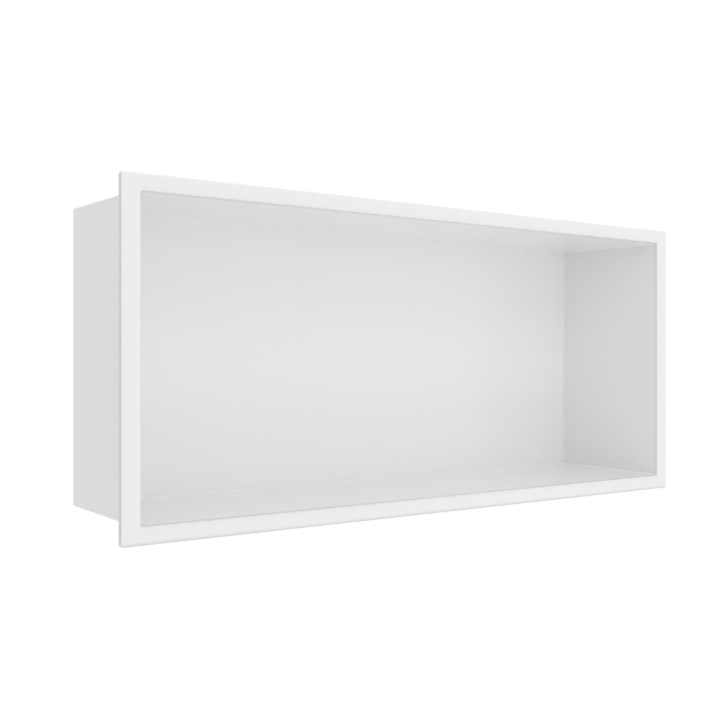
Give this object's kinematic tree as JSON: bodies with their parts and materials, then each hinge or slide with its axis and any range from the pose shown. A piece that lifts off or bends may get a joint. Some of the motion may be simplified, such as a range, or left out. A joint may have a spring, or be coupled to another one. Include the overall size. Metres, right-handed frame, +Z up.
{
  "type": "shower niche insert",
  "caption": "Recessed shower niche insert: an open white sheet-metal box with a narrow flange around its mouth, set into a wall to hold bottles.",
  "frame": {"origin": "middle of the flange outline, in the wall plane that the flange's return lip sits on", "axes": "+X to the right as seen from the room, +Y into the wall, +Z up"},
  "size_m": [0.45, 0.0992, 0.2],
  "materials": {
    "white_coat": "satin"
  },
  "bodies": {
    "root": {"niche_body": "white_coat"}
  },
  "joints": []
}
